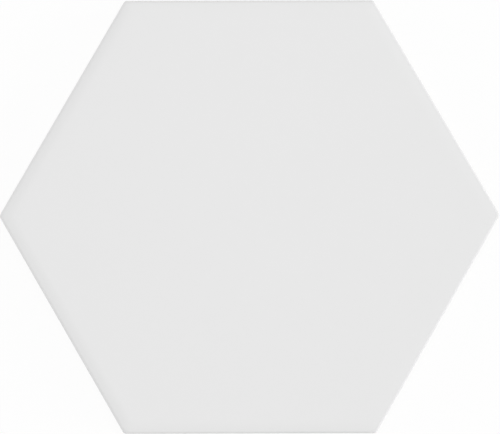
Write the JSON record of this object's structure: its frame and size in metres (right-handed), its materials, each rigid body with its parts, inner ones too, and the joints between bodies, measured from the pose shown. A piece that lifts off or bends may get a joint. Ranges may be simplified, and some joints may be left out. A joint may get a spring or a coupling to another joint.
{
  "type": "hexagon tile",
  "caption": "Flat hexagonal floor and wall tile with a smooth matt white glazed face, softly cushioned and rounded edges, and a honeycomb-ribbed back.",
  "frame": {"origin": "middle of the plane of the back's ribs, which the tile rests on and is bedded by", "axes": "+Z out of the glazed face, +X from the middle to a corner, +Y from the middle to the middle of a side"},
  "size_m": [0.2016, 0.175, 0.009],
  "materials": {
    "glazed_porcelain": "Smooth matt white glaze on the face, over the rounded edge and down the upper part of the sides; bare, slightly warm white pressed body on the rest of the sides and the back, with a thin chalky kiln wash on the back's ribs."
  },
  "bodies": {
    "root": {"hexagon_tile": "glazed_porcelain"}
  },
  "joints": []
}
